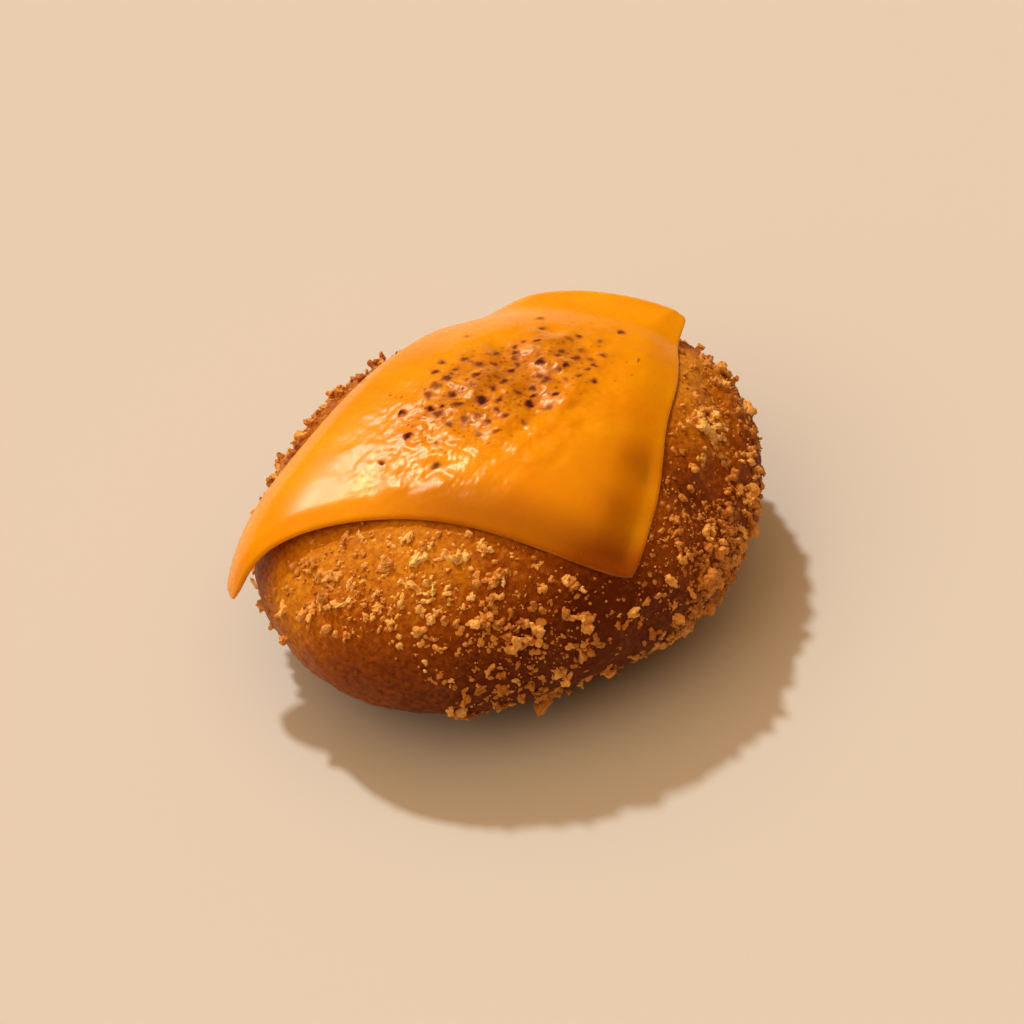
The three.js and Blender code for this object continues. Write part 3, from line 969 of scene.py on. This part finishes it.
def crumb_form(generator, texture):
    """A craggy crumb of about unit radius, with many and with few triangles."""
    centre = generator.normal(size=(FORM_BLOBS, 3)) * FORM_SPREAD
    radius = generator.uniform(*BLOB_RADII, FORM_BLOBS)
    blobs = lumps_mesh(generator, centre, radius, BLOB_SHAPE)
    centre = blobs[0][generator.integers(0, len(blobs[0]), FORM_NUBS)]
    radius = generator.uniform(*NUB_RADII, FORM_NUBS)
    nubs = lumps_mesh(generator, centre, radius, NUB_SHAPE)
    points, faces, _ = join([(part[0], part[1], []) for part in (blobs, nubs)])
    forms = []
    for triangles in (LARGE_TRIANGLES, MEDIUM_TRIANGLES):
        mesh = bpy.data.meshes.new("shape")
        mesh.from_pydata(points.tolist(), [], faces.tolist())
        fused = [
            ("REMESH", {"mode": "VOXEL", "voxel_size": FORM_VOXEL}),
            ("DISPLACE", {"texture": texture, "strength": FORM_ROUGHNESS}),
        ]
        whole = len(modified(mesh.copy(), fused)[1])
        forms.append(modified(mesh, fused + [("DECIMATE", {"ratio": min(1, triangles / whole)})]))
    return forms


def crumbs_mesh(generator, forms, centre, radius):
    """Turned copies of the forms, one for each crumb: points, triangles and each one's count of points."""
    chosen = generator.integers(0, len(forms), len(centre))
    turns = random_turns(generator, len(centre))
    stretch = generator.uniform(*CRUMB_STRETCH, (len(centre), 3))
    points = []
    faces = []
    total = 0
    for number, form in enumerate(chosen):
        shape, triangles = forms[form]
        points.append((shape * stretch[number]) @ turns[number].T * radius[number] + centre[number])
        faces.append(triangles + total)
        total += len(shape)
    return np.concatenate(points), np.concatenate(faces), [len(part) for part in points]


def crumb_toast(generator, point, spread):
    """Toast of each crumb by its place."""
    browned = TOAST_START + TOAST_RISE * smoothstep(*TOAST_SPAN, point[:, 0]) - spots(point, PALE_SPOTS)
    return browned + generator.uniform(-spread, spread, len(point))


def toasted(generator, mesh, each):
    """Gives the toast of each crumb to its points."""
    points, faces, sizes = mesh
    toast = np.repeat(each, sizes) + generator.uniform(-POINT_SPREAD, POINT_SPREAD, len(points))
    return points, faces, toast


def make_crumb_piece(name, mesh, material, smooth):
    points, faces, toast = mesh
    make_piece(name, points, faces, material, "bun", {"toast": toast}, smooth)


def make_crumbs(outline):
    generator = np.random.default_rng(SCATTER_SEED)
    texture = bpy.data.textures.new("crags", "CLOUDS")
    texture.noise_scale = FORM_CRAG
    large, medium = zip(*[crumb_form(generator, texture) for _ in range(CRUMB_FORMS)])
    material = crumb_material()

    centre, radius = solid_crumbs()
    lumps = crumbs_mesh(generator, large, centre, radius * LARGE_SCALE)
    lumps = toasted(generator, lumps, crumb_toast(generator, centre, TOAST_SPREAD))
    kind = (MEDIUM_CRUMBS, MEDIUM_RADII, MEDIUM_SHARE, FLANK_SPOTS)
    centre, _, radius = scattered(outline, generator, *kind)
    clumps = crumbs_mesh(generator, medium, centre, radius)
    clumps = toasted(generator, clumps, crumb_toast(generator, centre, TOAST_SPREAD))
    make_crumb_piece("coarse_crumbs", join([lumps, clumps]), material, smooth=False)

    kind = (COAT_CRUMBS, COAT_RADII, COAT_SHARE, COAT_SPOTS)
    centre, normal, radius = scattered(outline, generator, *kind)
    sunk = centre - normal * (COAT_SINK * radius)[:, None]
    coat = crumbs_mesh(generator, medium, sunk, radius)
    coat = toasted(generator, coat, COAT_TOAST + crumb_toast(generator, centre, COAT_SPREAD))
    make_crumb_piece("crumb_coat", coat, material, smooth=True)

    kind = (FINE_CRUMBS, FINE_RADII, FINE_SHARE, FUZZ_SPOTS)
    centre, _, radius = scattered(outline, generator, *kind)
    fine = lumps_mesh(generator, centre, radius, FINE_SHAPE)
    fine = toasted(generator, fine, generator.uniform(*FINE_TOAST, len(centre)))
    make_crumb_piece("fine_crumbs", fine, material, smooth=False)


# Camera, floor and light

def towards(azimuth, elevation):
    """Unit direction by degrees of azimuth from +X and of elevation."""
    azimuth, elevation = math.radians(azimuth), math.radians(elevation)
    level = math.cos(elevation)
    return Vector((math.cos(azimuth) * level, math.sin(azimuth) * level, math.sin(elevation)))


def make_camera():
    data = bpy.data.cameras.new("camera")
    data.lens = LENS
    data.sensor_width = SENSOR
    camera = bpy.data.objects.new("camera", data)
    bpy.context.scene.collection.objects.link(camera)
    camera.location = towards(CAMERA_AZIMUTH - 90, CAMERA_ELEVATION) * CAMERA_DISTANCE * MM
    camera.rotation_euler = (Vector(CAMERA_AIM) * MM - camera.location).to_track_quat("-Z", "Y").to_euler()
    bpy.context.scene.camera = camera


def make_floor():
    mesh = bpy.data.meshes.new("floor")
    half = FLOOR_SIZE / 2 * MM
    corners = [(-half, -half, 0), (half, -half, 0), (half, half, 0), (-half, half, 0)]
    mesh.from_pydata(corners, [], [(0, 1, 2, 3)])
    material = new_material("pale_floor", Base_Color=(*FLOOR_COLOUR, 1), Roughness=FLOOR_ROUGHNESS)[0]
    mesh.materials.append(material)
    floor = bpy.data.objects.new("floor", mesh)
    bpy.context.scene.collection.objects.link(floor)


def make_sun(name, azimuth, elevation, strength, angle, colour):
    data = bpy.data.lights.new(name, "SUN")
    data.energy = strength
    data.angle = math.radians(angle)
    data.color = colour
    sun = bpy.data.objects.new(name, data)
    bpy.context.scene.collection.objects.link(sun)
    sun.rotation_euler = towards(azimuth, elevation).to_track_quat("Z", "Y").to_euler()
    return sun


def make_light():
    make_sun("key", KEY_AZIMUTH, KEY_ELEVATION, KEY_STRENGTH, KEY_ANGLE, KEY_COLOUR)
    fill = make_sun("fill", FILL_AZIMUTH, FILL_ELEVATION, FILL_STRENGTH, FILL_ANGLE, FILL_COLOUR)
    fill.visible_glossy = False
    sheen = make_sun("sheen", SHEEN_AZIMUTH, SHEEN_ELEVATION, SHEEN_STRENGTH, SHEEN_ANGLE, SHEEN_COLOUR)
    sheen.visible_diffuse = False
    world = bpy.data.worlds.new("studio")
    world.use_nodes = True
    tree = world.node_tree
    direction = add_node(tree, "TexCoord").outputs["Generated"]
    upward = add_node(tree, "VectorMath", {"operation": "DOT_PRODUCT"}, s0=direction, s1=SKY_AXIS)
    sky = ramp(tree, upward.outputs["Value"], (SKY_START, SKY_LOW), (1.0, SKY_HIGH))
    tree.links.new(sky, tree.nodes["Background"].inputs["Color"])
    bpy.context.scene.world = world
    bpy.context.scene.view_settings.view_transform = "Standard"


make_camera()
make_floor()
make_light()
slice_edge = slice_outline()
make_bun(slice_edge)
make_cheese()
make_crumbs(slice_edge)
